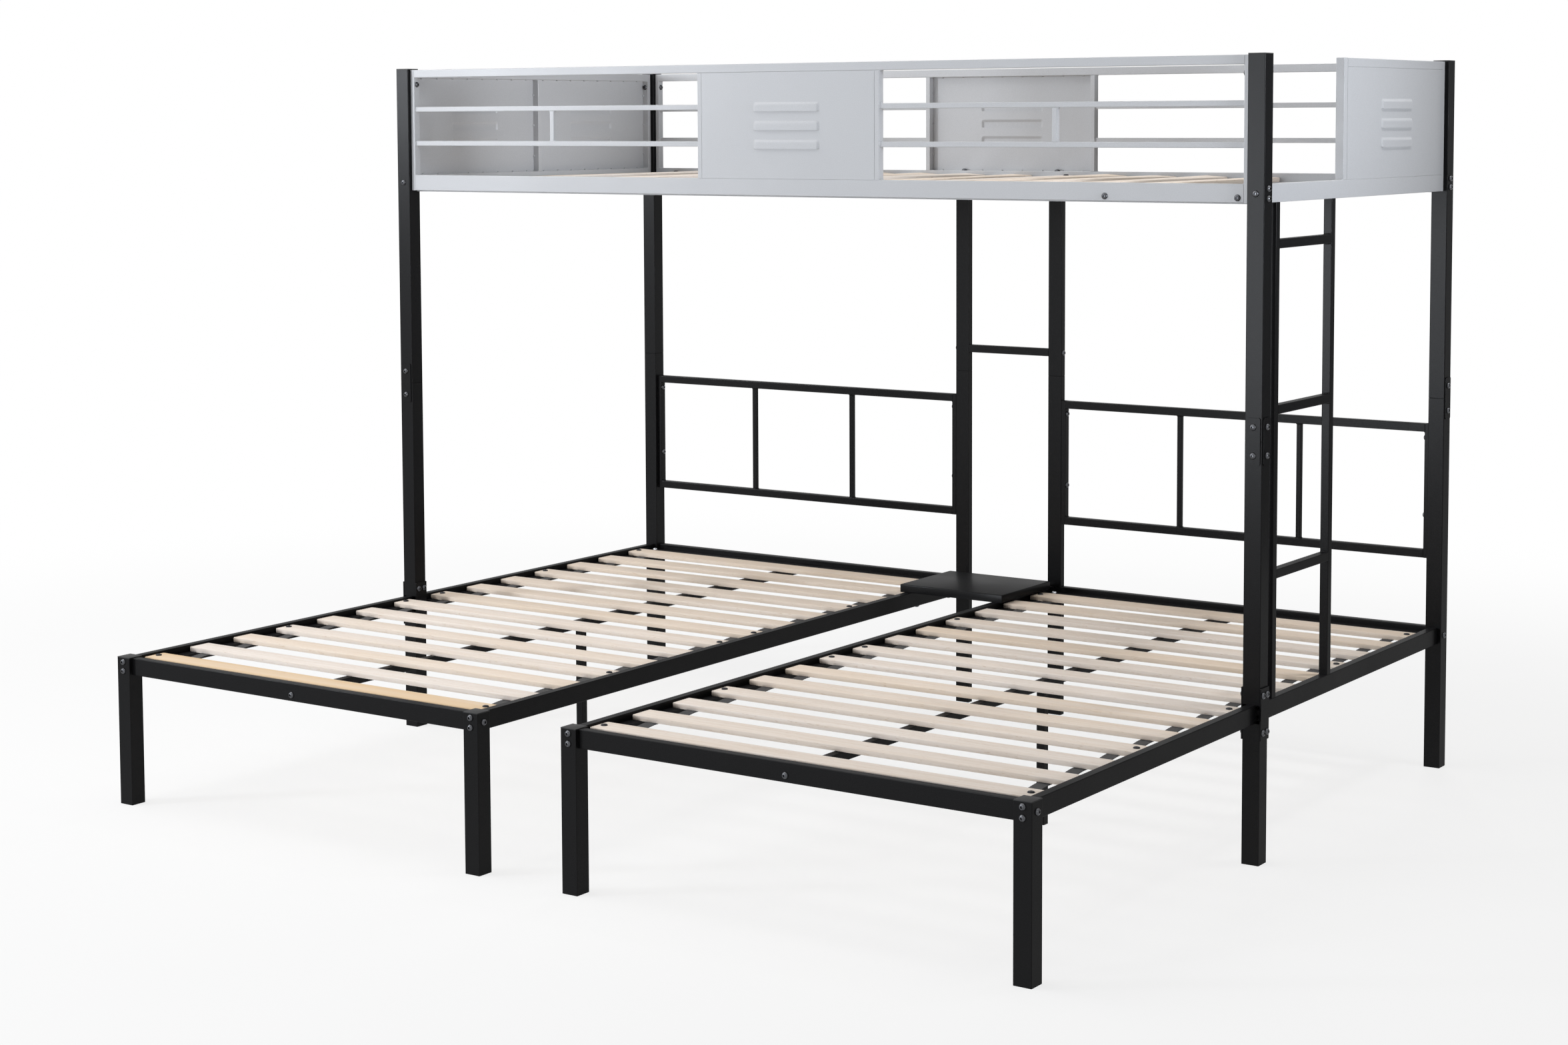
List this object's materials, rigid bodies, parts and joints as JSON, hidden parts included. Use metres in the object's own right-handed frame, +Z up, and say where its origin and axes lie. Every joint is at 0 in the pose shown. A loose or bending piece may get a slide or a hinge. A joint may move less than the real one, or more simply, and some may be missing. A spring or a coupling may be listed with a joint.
{
  "type": "triple bunk bed",
  "caption": "Steel-tube bunk bed: low single beds side by side under a long guarded bunk that lies across their heads, with louvred panels, an end ladder and a shelf.",
  "frame": {"origin": "on the floor under the middle of the whole bed", "axes": "+X along the upper bunk towards the ladder end, +Y towards the heads, +Z up"},
  "size_m": [2.337, 1.974, 1.643],
  "materials": {
    "black_powder_coat": "satin black powder coat on steel tube",
    "silver_powder_coat": "satin silver-grey powder coat on steel tube and sheet",
    "birch_slat": "pale sanded birch plywood",
    "black_zinc_bolt": "black zinc with worn bright edges",
    "plain_steel": "plain drawn steel, hidden inside the tubes",
    "black_webbing": "woven black strap",
    "black_plastic": "fine-grained black end cap"
  },
  "bodies": {
    "root": {"back_guard_frame": "silver_powder_coat", "back_guard_panel": "silver_powder_coat", "frame_bolts": "black_zinc_bolt", "front_guard_frame": "silver_powder_coat", "front_guard_panel": "silver_powder_coat", "head_crossbar": "black_powder_coat", "ladder_rungs": "black_powder_coat", "ladder_stiles": "black_powder_coat", "left_bunk_post_foot": "black_powder_coat", "left_bunk_post_lower": "black_powder_coat", "left_bunk_post_upper": "black_powder_coat", "left_centre_beam": "black_powder_coat", "left_centre_leg": "black_powder_coat", "left_end_frame": "silver_powder_coat", "left_end_panels": "silver_powder_coat", "left_foot_rail": "black_powder_coat", "left_front_inner_leg": "black_powder_coat", "left_front_outer_leg": "black_powder_coat", "left_head_post_lower": "black_powder_coat", "left_head_post_upper": "black_powder_coat", "left_head_rail": "black_powder_coat", "left_headboard": "black_powder_coat", "left_inner_side_rail": "black_powder_coat", "left_middle_post_lower": "black_powder_coat", "left_middle_post_upper": "black_powder_coat", "left_outer_side_rail": "black_powder_coat", "left_slat_ledges": "black_powder_coat", "left_slat_straps": "black_webbing", "left_slats": "birch_slat", "post_caps": "black_plastic", "post_joint_plates": "black_powder_coat", "post_joint_sleeves": "plain_steel", "rail_end_plugs": "plain_steel", "right_bunk_post_foot": "black_powder_coat", "right_bunk_post_lower": "black_powder_coat", "right_bunk_post_upper": "black_powder_coat", "right_centre_beam": "black_powder_coat", "right_centre_leg": "black_powder_coat", "right_end_frame": "silver_powder_coat", "right_end_panel": "silver_powder_coat", "right_foot_rail": "black_powder_coat", "right_front_inner_leg": "black_powder_coat", "right_front_outer_leg": "black_powder_coat", "right_head_post_lower": "black_powder_coat", "right_head_post_upper": "black_powder_coat", "right_head_rail": "black_powder_coat", "right_headboard": "black_powder_coat", "right_inner_side_rail": "black_powder_coat", "right_middle_post_lower": "black_powder_coat", "right_middle_post_upper": "black_powder_coat", "right_outer_side_rail": "black_powder_coat", "right_slat_ledges": "black_powder_coat", "right_slat_straps": "black_webbing", "right_slats": "birch_slat", "saddle_plates": "black_powder_coat", "saddle_spacers": "black_powder_coat", "shelf_tray": "black_powder_coat", "slat_screws": "black_zinc_bolt", "upper_slat_ledges": "silver_powder_coat", "upper_slats": "birch_slat"}
  },
  "joints": []
}
